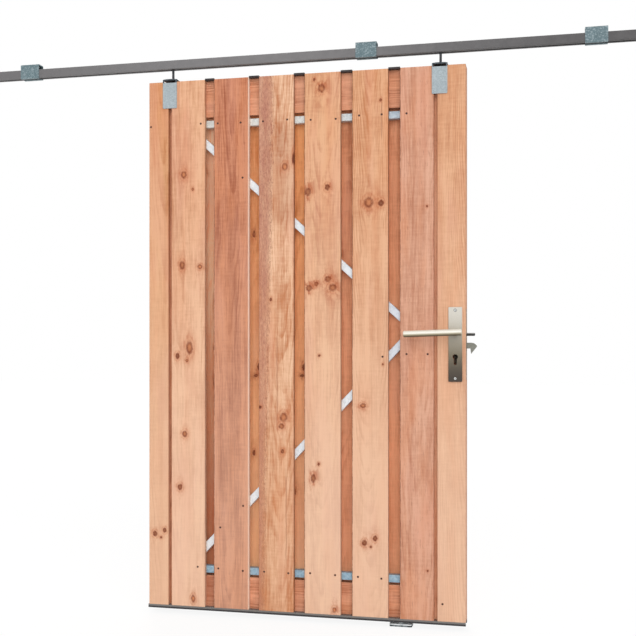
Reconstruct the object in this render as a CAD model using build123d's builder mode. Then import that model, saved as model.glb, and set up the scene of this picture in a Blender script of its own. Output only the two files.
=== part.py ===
from build123d import *

import os
from math import cos, radians, sin

# Sliding garden gate: a boarded gate on a welded tube frame, hung from an overhead track.
# Millimetres. X runs along the track to the right, -Y is the front, +Z is up.
# The origin is the middle of the top face of the middle track bracket.

# Overhead track, a C section open downwards
track_width = 30
track_height = 30
track_wall = 2
track_slot = 11
track_reach_left = 1359
track_reach_right = 1241

# Track brackets, folded sleeves that screw up to a beam
bracket_width = 70
bracket_wall = 2
bracket_top_wall = 4
bracket_rise = 18
bracket_slot = 15
bracket_corner = 3
bracket_screw_spacing = 44
bracket_screw_diameter = 7
left_bracket_inset = 140
right_bracket_x = 736
end_bracket_inset = 70

# Gate boards
board_height = 1800
board_thickness = 18
board_edge = 1.2
front_widths = (70, 120, 123, 121, 123, 120, 110, 91)
front_gaps = (12, 33, 36, 37, 39, 39, 12)
rear_width = 124
rear_gap = 34
gate_left_x = -757.5
hang_gap = 49

# Welded tube frame between the two board layers
tube_depth = 25
tube_face = 25
brace_face = 25
tube_wall = 2
tube_corner = 2.5
frame_inset_left = 122
frame_inset_right = 132.5
top_tube_drop = 136
bottom_tube_rise = 113
brace_meet_rise = 945
brace_meet_inset = 10
brace_foot = 8

# Wooden infill in the plane of the frame, with metal caps in the tops of the gaps
top_fill_height = 125
bottom_fill_height = 105
cap_rise = 4
cap_lip = 2
cap_side_gap = 0.5

# Bottom channel and floor guide
channel_height = 12
channel_wall = 2
channel_slot = 26
channel_overhang = 3
guide_x = 116
guide_roller_diameter = 20
guide_roller_height = 12
guide_roller_headroom = 3
guide_pin_diameter = 10
guide_base_length = 74
guide_base_width = 40
guide_base_thickness = 9
guide_base_corner = 6
guide_screw_spacing = 50
guide_screw_diameter = 6.5
guide_screw_head = 12
floor_drop = 29

# Hangers: strap brackets, rods and trolleys
hanger_inset_left = 76.5
hanger_inset_right = 83.5
strap_width = 50
strap_wall = 4
strap_bridge = 6
strap_leg = 91.5
strap_rise = 11
strap_bend = 7
strap_corner = 3
strap_crown = 3
strap_crown_flat = 16
window_width = 42
window_drop = 4
pocket_depth = 9
pocket_side_clearance = 1
rod_diameter = 8
rod_hole_clearance = 0.3
nut_across_flats = 15
nut_height = 6.5
collar_diameter = 13
collar_height = 3
rod_tail = 3
wheel_diameter = 22
wheel_width = 6
wheel_base = 40
wheel_lift = 0.3
wheel_side_gap = 0.75
axle_diameter = 6
running_clearance = 0.05
trolley_plate_thickness = 8
trolley_plate_height = 14
trolley_plate_corner = 3
trolley_boss_diameter = 14
trolley_boss_drop = 10
rod_grip = 12
stop_length = 20
stop_side_clearance = 1
stop_height = 16
stop_gap = 5

# Travel of the gate from the position shown, to the left and to the right
travel_left = 180
travel_right = 840

# Lock, handles and hook bolt
spindle_backset = 33
spindle_rise = 934.5
cylinder_drop = 78.5
plate_width = 44
plate_length = 241
plate_thickness = 6
plate_corner = 3
plate_edge = 1
plate_screw_spacing = 220
plate_screw_diameter = 5.5
plate_screw_head = 10
plate_drop = 38
lever_diameter = 21
lever_stand_off = 45
lever_length = 163
lever_tail = 24
lever_droop = 1.7
lever_end_edge = 2.5
neck_diameter = 20
neck_clearance = 1
spindle_size = 8
spindle_hole = 20
cylinder_diameter = 17.5
cylinder_slot = 10.5
cylinder_height = 35
case_height = 170
case_depth = 57
case_thickness = 18
case_wall = 1.5
faceplate_height = 230
faceplate_width = 22
faceplate_thickness = 3
mortise_clearance = 0.5
hook_thickness = 5
hook_pivot_inset = 30
hook_pivot_drop = 43
hook_pin_diameter = 8
hook_heel = 11
hook_shank_top = 10.5
hook_shank_bottom = 8.5
hook_shoulder = 46
hook_brow_reach = 53
hook_brow_rise = 9.5
hook_cheek_reach = 59
hook_cheek_rise = 6
hook_nose_reach = 65
hook_nose_drop = 1
hook_barb_reach = 45
hook_barb_drop = 26
hook_throat = 43
hook_slot_width = 15
hook_slot_above = 26
hook_slot_below = 14
buffer_diameter = 10
buffer_reach = 28
buffer_drop = 5.5
buffer_edge = 2

# How far a cutting block reaches past the face it cuts
cut_margin = 1

# Heights worked out from the sizes above
track_top = -bracket_rise
track_bottom = track_top - track_height
gate_top = track_bottom - hang_gap
gate_bottom = gate_top - board_height
channel_bottom = gate_bottom - channel_height
floor = gate_bottom - floor_drop

# Depths of the layers, front to back
gate_depth = tube_depth + 2 * board_thickness
front_face = -gate_depth / 2
front_back = -tube_depth / 2
rear_front = tube_depth / 2
rear_face = gate_depth / 2

# Places along the track
gate_width = sum(front_widths) + sum(front_gaps)
gate_right_x = gate_left_x + gate_width
frame_left_x = gate_left_x + frame_inset_left
frame_right_x = gate_right_x - frame_inset_right
left_hanger_x = gate_left_x + hanger_inset_left
right_hanger_x = gate_right_x - hanger_inset_right
spindle_x = gate_right_x - spindle_backset
spindle_z = gate_bottom + spindle_rise
cylinder_z = spindle_z - cylinder_drop
plate_z = spindle_z - plate_drop

front_lefts = [
    gate_left_x + sum(front_widths[:n]) + sum(front_gaps[:n]) for n in range(len(front_widths))
]
gap_centres = [
    front_lefts[n] + front_widths[n] + front_gaps[n] / 2 for n in range(len(front_gaps))
]

os.makedirs("parts", exist_ok=True)


def save(piece, name):
    """Labels a finished piece and writes it to its own file."""
    piece.part.label = name
    export_step(piece.part, f"parts/{name}.step")


def slab(left, right, y_low, y_high, z_low, z_high, mode=Mode.ADD):
    """A plain block between two corners, for the part that is being built."""
    with Locations(((left + right) / 2, (y_low + y_high) / 2, (z_low + z_high) / 2)):
        Box(right - left, y_high - y_low, z_high - z_low, mode=mode)


def cut_hanger_pockets():
    """Cuts the pockets under both strap brackets, where the rod nuts sit."""
    half = window_width / 2 + pocket_side_clearance
    for x in (left_hanger_x, right_hanger_x):
        slab(
            x - half,
            x + half,
            front_face - cut_margin,
            rear_face + cut_margin,
            gate_top - pocket_depth,
            gate_top + cut_margin,
            mode=Mode.SUBTRACT,
        )


def draw_cylinder_cutout():
    """Outline of the keyhole for a profile cylinder, on a plane that faces the front."""
    with Locations((spindle_x, cylinder_z)):
        Circle(cylinder_diameter / 2)
    slot_bottom = cylinder_z + cylinder_diameter / 2 - cylinder_height
    foot_z = slot_bottom + cylinder_slot / 2
    with Locations((spindle_x, (cylinder_z + foot_z) / 2)):
        Rectangle(cylinder_slot, cylinder_z - foot_z)
    with Locations((spindle_x, foot_z)):
        Circle(cylinder_slot / 2)


def cut_lock_holes():
    """Cuts the spindle hole and the keyhole right through a piece."""
    with BuildSketch(Plane.XZ) as holes:
        with Locations((spindle_x, spindle_z)):
            Circle(spindle_hole / 2)
        draw_cylinder_cutout()
    extrude(holes.sketch, amount=gate_depth, both=True, mode=Mode.SUBTRACT)


def ease_long_edges():
    """Breaks the long upright edges of a sawn board."""
    uprights = [
        e for e in edges().filter_by(Axis.Z) if e.length > board_height - 2 * pocket_depth
    ]
    chamfer(uprights, board_edge)


def board(left, width, y_low, y_high, has_lock):
    """One upright board with its edges eased and the hanger pockets and lock holes cut."""
    with BuildPart() as piece:
        slab(left, left + width, y_low, y_high, gate_bottom, gate_top)
        ease_long_edges()
        cut_hanger_pockets()
        if has_lock:
            cut_lock_holes()
    return piece


def tube_profile(face):
    """Cross-section of a frame tube: rounded outside, hollow inside."""
    RectangleRounded(face, tube_depth, tube_corner)
    Rectangle(face - 2 * tube_wall, tube_depth - 2 * tube_wall, mode=Mode.SUBTRACT)


# Overhead track
with BuildPart() as track:
    with BuildSketch(Plane.YZ.offset(-track_reach_left)):
        with Locations((0, (track_top + track_bottom) / 2)):
            RectangleRounded(track_width, track_height, track_wall)
            Rectangle(
                track_width - 2 * track_wall,
                track_height - 2 * track_wall,
                mode=Mode.SUBTRACT,
            )
        with Locations((0, track_bottom + track_wall / 2)):
            Rectangle(track_slot, 2 * track_wall, mode=Mode.SUBTRACT)
    extrude(amount=track_reach_left + track_reach_right)
save(track, "track")

# Track brackets, each a folded sleeve round the track with a raised top
bracket_height = bracket_rise + track_height + bracket_wall
bracket_depth = track_width + 2 * bracket_wall
bracket_places = {
    "left_track_bracket": left_bracket_inset - track_reach_left,
    "middle_track_bracket": 0,
    "right_track_bracket": right_bracket_x,
    "end_track_bracket": track_reach_right - end_bracket_inset,
}
for bracket_name, bracket_x in bracket_places.items():
    with BuildPart() as track_bracket:
        with BuildSketch(Plane.YZ.offset(bracket_x - bracket_width / 2)):
            with Locations((0, -bracket_height / 2)):
                Rectangle(bracket_depth, bracket_height)
            fillet(vertices().group_by(Axis.Y)[-1], bracket_corner)
            with Locations((0, -(bracket_top_wall + bracket_rise + track_height) / 2)):
                Rectangle(
                    track_width,
                    bracket_rise + track_height - bracket_top_wall,
                    mode=Mode.SUBTRACT,
                )
            with Locations((0, -bracket_height + bracket_wall / 2)):
                Rectangle(bracket_slot, 2 * bracket_wall, mode=Mode.SUBTRACT)
        extrude(amount=bracket_width)
        with BuildSketch(Plane.XY):
            with Locations((bracket_x, 0)):
                with GridLocations(bracket_screw_spacing, 0, 2, 1):
                    Circle(bracket_screw_diameter / 2)
        extrude(amount=-bracket_top_wall, mode=Mode.SUBTRACT)
    save(track_bracket, bracket_name)

# Stops inside the track, a little beyond the trolleys at both ends of the travel
trolley_half_length = (wheel_base + wheel_diameter) / 2
left_stop_face = left_hanger_x - travel_left - trolley_half_length - stop_gap
right_stop_face = right_hanger_x + travel_right + trolley_half_length + stop_gap
stop_width = track_width - 2 * track_wall - 2 * stop_side_clearance
with BuildPart() as track_stops:
    for stop_left in (left_stop_face - stop_length, right_stop_face):
        with BuildSketch(Plane.YZ.offset(stop_left)):
            with Locations((0, track_bottom + track_wall + stop_height / 2)):
                Rectangle(stop_width, stop_height)
            with Locations((0, track_bottom + track_wall / 2)):
                Rectangle(track_slot - 2 * stop_side_clearance, track_wall)
        extrude(amount=stop_length)
save(track_stops, "track_stops")

# Front boards
for n, (left, width) in enumerate(zip(front_lefts, front_widths), start=1):
    carries_lock = n == len(front_widths)
    front_board = board(left, width, front_face, front_back, carries_lock)
    save(front_board, f"front_board_{n}")

# Rear boards: one behind each open gap, and one at each side
open_gaps = gap_centres[1:-1]
rear_spans = [
    (gate_left_x, open_gaps[0] - rear_width / 2 - rear_gap),
    *[(centre - rear_width / 2, centre + rear_width / 2) for centre in open_gaps],
    (open_gaps[-1] + rear_width / 2 + rear_gap, gate_right_x),
]
for n, (left, right) in enumerate(rear_spans, start=1):
    carries_lock = n == len(rear_spans)
    rear_board = board(left, right - left, rear_front, rear_face, carries_lock)
    save(rear_board, f"rear_board_{n}")

# Tube frame: two rails, two stiles and two braces
top_tube_z = gate_top - top_tube_drop - tube_face / 2
bottom_tube_z = gate_bottom + bottom_tube_rise + tube_face / 2
with BuildPart() as frame_rails:
    for rail_z in (top_tube_z, bottom_tube_z):
        rail_plane = Plane(origin=(frame_left_x, 0, rail_z), x_dir=(0, 0, 1), z_dir=(1, 0, 0))
        with BuildSketch(rail_plane):
            tube_profile(tube_face)
    extrude(amount=frame_right_x - frame_left_x)
save(frame_rails, "frame_rails")

inner_bottom = bottom_tube_z + tube_face / 2
inner_top = top_tube_z - tube_face / 2
inner_left = frame_left_x + tube_face
inner_right = frame_right_x - tube_face
with BuildPart() as frame_stiles:
    for stile_x in (frame_left_x + tube_face / 2, frame_right_x - tube_face / 2):
        with BuildSketch(Plane(origin=(stile_x, 0, inner_bottom))):
            tube_profile(tube_face)
    extrude(amount=inner_top - inner_bottom)
save(frame_stiles, "frame_stiles")

# Braces run from the left corners to one point just before the right stile, cut to fit there
brace_meet_z = gate_bottom + brace_meet_rise
brace_meet_x = inner_right - brace_meet_inset
brace_foot_x = inner_left - brace_foot
brace_ends = {
    "upper_brace": (inner_top, brace_meet_z, inner_top),
    "lower_brace": (inner_bottom, inner_bottom, brace_meet_z),
}
for brace_name, (foot_z, low_z, high_z) in brace_ends.items():
    rise = foot_z - brace_meet_z
    run = brace_meet_x - brace_foot_x
    brace_direction = Vector(-run, 0, rise).normalized()
    overrun = 2 * tube_face
    start = Vector(brace_meet_x, 0, brace_meet_z) - brace_direction * overrun
    brace_plane = Plane(origin=start, x_dir=(0, 1, 0), z_dir=brace_direction)
    with BuildPart() as brace:
        with BuildSketch(brace_plane):
            RectangleRounded(tube_depth, brace_face, tube_corner)
            Rectangle(
                tube_depth - 2 * tube_wall, brace_face - 2 * tube_wall, mode=Mode.SUBTRACT
            )
        extrude(amount=Vector(run, 0, rise).length + 2 * overrun)
        with Locations(
            ((inner_left + inner_right) / 2, 0, (low_z + high_z) / 2)
        ):
            Box(
                inner_right - inner_left,
                2 * tube_depth,
                high_z - low_z,
                mode=Mode.INTERSECT,
            )
    save(brace, brace_name)

# Wooden stiles outside the tube frame, the right one mortised for the lock
with BuildPart() as hanging_stile:
    slab(gate_left_x, frame_left_x, front_back, rear_front, gate_bottom, gate_top)
    cut_hanger_pockets()
save(hanging_stile, "left_wood_stile")

case_top = plate_z + case_height / 2
case_bottom = plate_z - case_height / 2
case_back_x = gate_right_x - case_depth
with BuildPart() as lock_stile:
    slab(frame_right_x, gate_right_x, front_back, rear_front, gate_bottom, gate_top)
    cut_hanger_pockets()
    half_mortise = case_thickness / 2 + mortise_clearance
    slab(
        case_back_x - mortise_clearance,
        gate_right_x + cut_margin,
        -half_mortise,
        half_mortise,
        case_bottom - mortise_clearance,
        case_top + mortise_clearance,
        mode=Mode.SUBTRACT,
    )
    slab(
        gate_right_x - faceplate_thickness,
        gate_right_x + cut_margin,
        -faceplate_width / 2,
        faceplate_width / 2,
        plate_z - faceplate_height / 2,
        plate_z + faceplate_height / 2,
        mode=Mode.SUBTRACT,
    )
    cut_lock_holes()
save(lock_stile, "right_wood_stile")

# Horizontal infill boards above and below the tube frame
infill_heights = {
    "top_infill_board": (gate_top - top_fill_height, gate_top),
    "bottom_infill_board": (gate_bottom, gate_bottom + bottom_fill_height),
}
for infill_name, (z_low, z_high) in infill_heights.items():
    with BuildPart() as infill_board:
        slab(frame_left_x, frame_right_x, front_back, rear_front, z_low, z_high)
    save(infill_board, infill_name)

# Metal caps that close the tops of the gaps, in front and behind
front_open = [
    (front_lefts[n] + front_widths[n], front_lefts[n + 1]) for n in range(1, len(open_gaps) + 1)
]
rear_open = [
    (rear_spans[n][1], rear_spans[n + 1][0]) for n in range(len(rear_spans) - 1)
]
cap_layers = (
    (front_open, front_face, rear_front, front_face, front_back),
    (rear_open, front_back, rear_face, rear_front, rear_face),
)
cap_top = gate_top + cap_rise
with BuildPart() as top_cap:
    for gap_spans, cap_front, cap_rear, lip_front, lip_rear in cap_layers:
        for gap_left, gap_right in gap_spans:
            cap_left = gap_left + cap_side_gap
            cap_right = gap_right - cap_side_gap
            slab(cap_left, cap_right, cap_front, cap_rear, gate_top, cap_top)
            slab(cap_left, cap_right, lip_front, lip_rear, gate_top - cap_lip, gate_top)
save(top_cap, "top_cap")

# Bottom channel under the whole gate, with a slot that runs over the floor guide
channel_middle = (gate_bottom + channel_bottom) / 2
with BuildPart() as bottom_channel:
    with BuildSketch(Plane.YZ.offset(gate_left_x - channel_overhang)):
        with Locations((0, channel_middle)):
            Rectangle(gate_depth, channel_height)
            Rectangle(
                gate_depth - 2 * channel_wall,
                channel_height - 2 * channel_wall,
                mode=Mode.SUBTRACT,
            )
        with Locations((0, channel_bottom + channel_wall / 2)):
            Rectangle(channel_slot, 2 * channel_wall, mode=Mode.SUBTRACT)
    extrude(amount=gate_width + channel_overhang)
save(bottom_channel, "bottom_channel")

# Floor guide: a screwed base with a pin, and a roller on the pin
base_top = floor + guide_base_thickness
roller_top = gate_bottom - channel_wall - guide_roller_headroom
roller_bottom = roller_top - guide_roller_height
with BuildPart() as floor_guide:
    with BuildSketch(Plane(origin=(guide_x, 0, floor))):
        RectangleRounded(guide_base_length, guide_base_width, guide_base_corner)
    extrude(amount=guide_base_thickness)
    with Locations(Plane(origin=(guide_x, 0, base_top))):
        with GridLocations(guide_screw_spacing, 0, 2, 1):
            CounterSinkHole(guide_screw_diameter / 2, guide_screw_head / 2)
    with BuildSketch(Plane(origin=(guide_x, 0, base_top))):
        Circle(guide_pin_diameter / 2 + guide_base_thickness / 2)
    extrude(amount=roller_bottom - base_top)
    with BuildSketch(Plane(origin=(guide_x, 0, base_top))):
        Circle(guide_pin_diameter / 2)
    extrude(amount=roller_top - base_top)
save(floor_guide, "floor_guide")

with BuildPart() as guide_roller:
    with BuildSketch(Plane(origin=(guide_x, 0, roller_bottom))):
        Circle(guide_roller_diameter / 2)
        Circle(guide_pin_diameter / 2 + running_clearance, mode=Mode.SUBTRACT)
    extrude(amount=guide_roller_height)
save(guide_roller, "guide_roller")

# Hangers
axle_z = track_bottom + track_wall + wheel_lift + wheel_diameter / 2
boss_bottom = axle_z - trolley_boss_drop
rod_top = boss_bottom + rod_grip
bridge_bottom = gate_top + strap_rise - strap_bridge
bridge_top = gate_top + strap_rise
rod_bottom = bridge_bottom - nut_height - rod_tail
wheel_centre_y = track_slot / 2 + wheel_side_gap + wheel_width / 2
hanger_places = (left_hanger_x, right_hanger_x)

# Strap brackets folded over the top of the gate, crowned, with front windows to reach the nuts
with BuildPart() as strap_brackets:
    for hanger_x in hanger_places:
        with BuildSketch(Plane.YZ.offset(hanger_x - strap_width / 2)):
            with Locations((0, bridge_top - (strap_leg + strap_rise) / 2)):
                Rectangle(gate_depth + 2 * strap_wall, strap_leg + strap_rise)
            fillet(vertices().group_by(Axis.Y)[-1], strap_bend)
            with Locations((0, bridge_bottom - (strap_leg + strap_rise) / 2)):
                Rectangle(gate_depth, strap_leg + strap_rise, mode=Mode.SUBTRACT)
    extrude(amount=strap_width)
    fillet(strap_brackets.edges().filter_by(Axis.Y).group_by(Axis.Z)[0], strap_corner)
    for hanger_x in hanger_places:
        slab(
            hanger_x - window_width / 2,
            hanger_x + window_width / 2,
            front_face - 2 * strap_wall,
            front_face,
            gate_top - window_drop,
            bridge_bottom,
            mode=Mode.SUBTRACT,
        )
        with BuildSketch(Plane(origin=(hanger_x, 0, bridge_top))):
            Circle(rod_diameter / 2 + rod_hole_clearance)
        extrude(amount=-strap_bridge, mode=Mode.SUBTRACT)
        with BuildSketch(Plane.XZ) as crown_cut:
            for side in (-1, 1):
                with BuildLine():
                    Polyline(
                        (hanger_x + side * strap_crown_flat / 2, bridge_top),
                        (hanger_x + side * strap_width / 2, bridge_top),
                        (hanger_x + side * strap_width / 2, bridge_top - strap_crown),
                        close=True,
                    )
                make_face()
        extrude(crown_cut.sketch, amount=gate_depth, both=True, mode=Mode.SUBTRACT)
save(strap_brackets, "strap_brackets")

# Threaded rods, each with a nut below the bridge and a collar above it
with BuildPart() as hanger_rods:
    for hanger_x in hanger_places:
        with BuildSketch(Plane(origin=(hanger_x, 0, rod_bottom))):
            Circle(rod_diameter / 2)
        extrude(amount=rod_top - rod_bottom)
        with BuildSketch(Plane(origin=(hanger_x, 0, bridge_bottom - nut_height))):
            RegularPolygon(nut_across_flats / 2, 6, major_radius=False)
        extrude(amount=nut_height)
        with BuildSketch(Plane(origin=(hanger_x, 0, bridge_top))):
            Circle(collar_diameter / 2)
        extrude(amount=collar_height)
save(hanger_rods, "hanger_rods")

# Trolleys: plates that carry the axles and take the rods in their bosses
with BuildPart() as trolleys:
    for hanger_x in hanger_places:
        slab(
            hanger_x - trolley_half_length,
            hanger_x + trolley_half_length,
            -trolley_plate_thickness / 2,
            trolley_plate_thickness / 2,
            axle_z - trolley_plate_height / 2,
            axle_z + trolley_plate_height / 2,
        )
    chamfer(trolleys.edges().filter_by(Axis.Y), trolley_plate_corner)
    for hanger_x in hanger_places:
        with BuildSketch(Plane(origin=(hanger_x, 0, boss_bottom))):
            Circle(trolley_boss_diameter / 2)
        extrude(amount=axle_z + trolley_plate_height / 2 - boss_bottom)
        with BuildSketch(Plane(origin=(hanger_x, 0, boss_bottom))):
            Circle(rod_diameter / 2 + running_clearance)
        extrude(amount=rod_grip, mode=Mode.SUBTRACT)
        axle_plane = Plane(origin=(hanger_x, 0, axle_z), x_dir=(1, 0, 0), z_dir=(0, 1, 0))
        with BuildSketch(axle_plane):
            with GridLocations(wheel_base, 0, 2, 1):
                Circle(axle_diameter / 2)
        extrude(amount=wheel_centre_y + wheel_width / 2, both=True)
save(trolleys, "trolleys")

# Trolley wheels, four to a trolley
with BuildPart() as trolley_wheels:
    for hanger_x in hanger_places:
        for wheel_y in (-wheel_centre_y, wheel_centre_y):
            wheel_plane = Plane(
                origin=(hanger_x, wheel_y - wheel_width / 2, axle_z),
                x_dir=(1, 0, 0),
                z_dir=(0, 1, 0),
            )
            with BuildSketch(wheel_plane):
                with GridLocations(wheel_base, 0, 2, 1):
                    Circle(wheel_diameter / 2)
                    Circle(axle_diameter / 2 + running_clearance, mode=Mode.SUBTRACT)
            extrude(amount=wheel_width)
save(trolley_wheels, "trolley_wheels")

# Lock case with its faceplate, hollow, with the pivot pin of the hook across it
hook_pivot_x = gate_right_x - hook_pivot_inset
hook_pivot_z = spindle_z - hook_pivot_drop
with BuildPart() as lock_case:
    slab(
        case_back_x,
        gate_right_x - faceplate_thickness,
        -case_thickness / 2,
        case_thickness / 2,
        case_bottom,
        case_top,
    )
    slab(
        case_back_x + case_wall,
        gate_right_x - faceplate_thickness,
        case_wall - case_thickness / 2,
        case_thickness / 2 - case_wall,
        case_bottom + case_wall,
        case_top - case_wall,
        mode=Mode.SUBTRACT,
    )
    slab(
        gate_right_x - faceplate_thickness,
        gate_right_x,
        -faceplate_width / 2,
        faceplate_width / 2,
        plate_z - faceplate_height / 2,
        plate_z + faceplate_height / 2,
    )
    slab(
        gate_right_x - 2 * faceplate_thickness,
        gate_right_x + cut_margin,
        -hook_slot_width / 2,
        hook_slot_width / 2,
        hook_pivot_z - hook_slot_below,
        hook_pivot_z + hook_slot_above,
        mode=Mode.SUBTRACT,
    )
    cut_lock_holes()
    with BuildSketch(Plane.XZ):
        with Locations((hook_pivot_x, hook_pivot_z)):
            Circle(hook_pin_diameter / 2)
    extrude(amount=case_thickness / 2, both=True)
save(lock_case, "lock_case")

# Hook bolt, a flat plate that turns on its pin
with BuildPart() as hook:
    with BuildSketch(Plane.XZ) as hook_outline:
        with BuildLine():
            Polyline(
                (hook_pivot_x, hook_pivot_z + hook_shank_top),
                (hook_pivot_x + hook_shoulder, hook_pivot_z + hook_shank_top),
                (hook_pivot_x + hook_brow_reach, hook_pivot_z + hook_brow_rise),
                (hook_pivot_x + hook_cheek_reach, hook_pivot_z + hook_cheek_rise),
                (hook_pivot_x + hook_nose_reach, hook_pivot_z - hook_nose_drop),
                (hook_pivot_x + hook_barb_reach, hook_pivot_z - hook_barb_drop),
                (hook_pivot_x + hook_throat, hook_pivot_z - hook_shank_bottom),
                (hook_pivot_x, hook_pivot_z - hook_shank_bottom),
                close=True,
            )
        make_face()
        with Locations((hook_pivot_x, hook_pivot_z)):
            Circle(hook_heel)
            Circle(hook_pin_diameter / 2 + running_clearance, mode=Mode.SUBTRACT)
    extrude(amount=hook_thickness / 2, both=True)
    nose_edges = hook.edges().filter_by(Axis.Y).group_by(Axis.X)[-1]
    fillet(nose_edges, hook_thickness / 2)
save(hook, "hook_bolt")

# Buffer pin above the hook, with a tapered nose
with BuildPart() as buffer_pin:
    buffer_plane = Plane(origin=(gate_right_x, 0, spindle_z - buffer_drop), z_dir=(1, 0, 0))
    with BuildSketch(buffer_plane):
        Circle(buffer_diameter / 2)
    extrude(amount=buffer_reach)
    chamfer(buffer_pin.faces().sort_by(Axis.X)[-1].edges(), buffer_edge)
save(buffer_pin, "buffer_pin")

# Handle plates, levers and spindle. The rear plate has no keyhole, the rest mirrors the front
plate_hole = neck_diameter / 2 + neck_clearance
grip_y = front_face - lever_stand_off
plate_plane = Plane(origin=(0, front_face, 0), x_dir=(1, 0, 0), z_dir=(0, -1, 0))
with BuildPart() as blind_plate:
    with BuildSketch(plate_plane):
        with Locations((spindle_x, plate_z)):
            RectangleRounded(plate_width, plate_length, plate_corner)
    extrude(amount=plate_thickness)
    chamfer(blind_plate.faces().sort_by(Axis.Y)[0].edges(), plate_edge)
    with BuildSketch(plate_plane):
        with Locations((spindle_x, spindle_z)):
            Circle(plate_hole)
    extrude(amount=plate_thickness, mode=Mode.SUBTRACT)
    with Locations(
        Plane(
            origin=(spindle_x, front_face - plate_thickness, plate_z),
            x_dir=(1, 0, 0),
            z_dir=(0, -1, 0),
        )
    ):
        with GridLocations(0, plate_screw_spacing, 1, 2):
            CounterSinkHole(plate_screw_diameter / 2, plate_screw_head / 2)

with BuildPart() as front_plate:
    add(blind_plate.part)
    with BuildSketch(plate_plane):
        draw_cylinder_cutout()
    extrude(amount=plate_thickness, mode=Mode.SUBTRACT)
save(front_plate, "front_handle_plate")

with BuildPart() as front_lever:
    droop = radians(lever_droop)
    grip_axis = Vector(-cos(droop), 0, -sin(droop))
    grip_start = Vector(spindle_x, grip_y, spindle_z) - grip_axis * lever_tail
    with BuildSketch(Plane(origin=grip_start, x_dir=(0, 1, 0), z_dir=grip_axis)):
        Circle(lever_diameter / 2)
    extrude(amount=lever_length + lever_tail)
    chamfer(front_lever.edges().filter_by(GeomType.CIRCLE), lever_end_edge)
    neck_start = (spindle_x, front_face - neck_clearance, spindle_z)
    with BuildSketch(Plane(origin=neck_start, x_dir=(1, 0, 0), z_dir=(0, -1, 0))):
        Circle(neck_diameter / 2)
    extrude(amount=lever_stand_off - neck_clearance)
save(front_lever, "front_lever")

with BuildPart() as rear_plate:
    add(blind_plate.part.mirror(Plane.XZ))
save(rear_plate, "rear_handle_plate")

with BuildPart() as rear_lever:
    add(front_lever.part.mirror(Plane.XZ))
save(rear_lever, "rear_lever")

with BuildPart() as spindle:
    with BuildSketch(Plane(origin=neck_start, x_dir=(1, 0, 0), z_dir=(0, 1, 0))):
        Rectangle(spindle_size, spindle_size)
    extrude(amount=gate_depth + 2 * neck_clearance)
save(spindle, "spindle")
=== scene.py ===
"""Looks of the sliding garden gate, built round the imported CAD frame. Metres, row frame."""

import math
from collections import namedtuple

import bmesh
import bpy
from mathutils import Matrix, Vector


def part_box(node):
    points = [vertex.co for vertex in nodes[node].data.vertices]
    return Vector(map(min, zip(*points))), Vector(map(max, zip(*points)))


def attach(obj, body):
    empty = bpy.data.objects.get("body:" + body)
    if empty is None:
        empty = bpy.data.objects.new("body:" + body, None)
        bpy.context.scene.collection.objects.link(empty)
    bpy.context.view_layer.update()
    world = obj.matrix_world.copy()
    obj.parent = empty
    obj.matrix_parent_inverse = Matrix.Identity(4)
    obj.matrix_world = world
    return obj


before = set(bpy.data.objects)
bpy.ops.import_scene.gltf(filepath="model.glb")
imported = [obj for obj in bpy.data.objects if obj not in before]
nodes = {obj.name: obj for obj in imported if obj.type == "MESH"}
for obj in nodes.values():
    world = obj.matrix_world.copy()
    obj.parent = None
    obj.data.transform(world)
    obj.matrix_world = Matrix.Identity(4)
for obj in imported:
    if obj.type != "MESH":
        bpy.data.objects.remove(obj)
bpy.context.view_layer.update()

MM = 0.001

# Places taken from the frame
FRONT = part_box("front_board_1")[0].y
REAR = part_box("rear_board_1")[1].y
GATE_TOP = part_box("front_board_1")[1].z
GATE_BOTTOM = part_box("front_board_1")[0].z
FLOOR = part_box("floor_guide")[0].z


def screen(r, g, b):
    """Linear colour from screen values of 0 to 255."""
    linear = []
    for value in (r / 255, g / 255, b / 255):
        linear.append(value / 12.92 if value <= 0.04045 else ((value + 0.055) / 1.055) ** 2.4)
    return (*linear, 1)


# Colours of the details in the wood
PALE_FOOT = screen(241, 206, 179)
# Painted shade and painted highlight for the side faces of the boards
SIDE_SHADE_TINT = screen(112, 58, 38)
SIDE_HIGHLIGHT_TINT = screen(250, 220, 200)
# Painted highlight along the right edge of a board
EDGE_HIGHLIGHT_TINT = screen(247, 216, 196)
# Painted shade along the left arris of a board
ARRIS_SHADE_TINT = screen(92, 44, 28)
# Dark streaks in the wood, also used for painted shade
STREAK_AND_SHADE_TINT = screen(140, 70, 42)
DARK_FLECK = screen(110, 52, 34)
WARM_PATCH = screen(216, 134, 84)
PINK_PATCH = screen(222, 160, 136)
BAND_DARK = screen(142, 86, 76)
BAND_PALE = screen(226, 178, 158)
BAND_FRINGE = screen(142, 82, 62)
KNOT_FLAME = screen(166, 76, 40)
KNOT_HALO = screen(208, 128, 84)
KNOT_OUTLINE = screen(172, 92, 56)
KNOT_RIM = screen(112, 44, 22)
PALE_HEART = screen(204, 130, 86)
DARK_HEART = screen(84, 36, 22)

# Colours of the details in metal, plastic and rubber
STEEL_DUST = screen(64, 68, 70)
BRIGHT_FLAKE = screen(226, 238, 242)
DARK_FLAKE = screen(72, 98, 106)
BRUSH_LINE = screen(112, 108, 94)
MATT_CLOUD = screen(150, 150, 148)

# How far apart in the noise the patterns of two boards lie
GRAIN_STEP = 3.7
WANDER_STEP = 1.3
ARRIS_STEP = 1.1
# Height at which a tree's heart stands as far behind the board as its look says
HEART_LEVEL = -1.0
# Half width in mm from which a knot has its full flames
FULL_GLOW_WIDTH = 10
ARRIS_WIDTH = 0.0035


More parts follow.
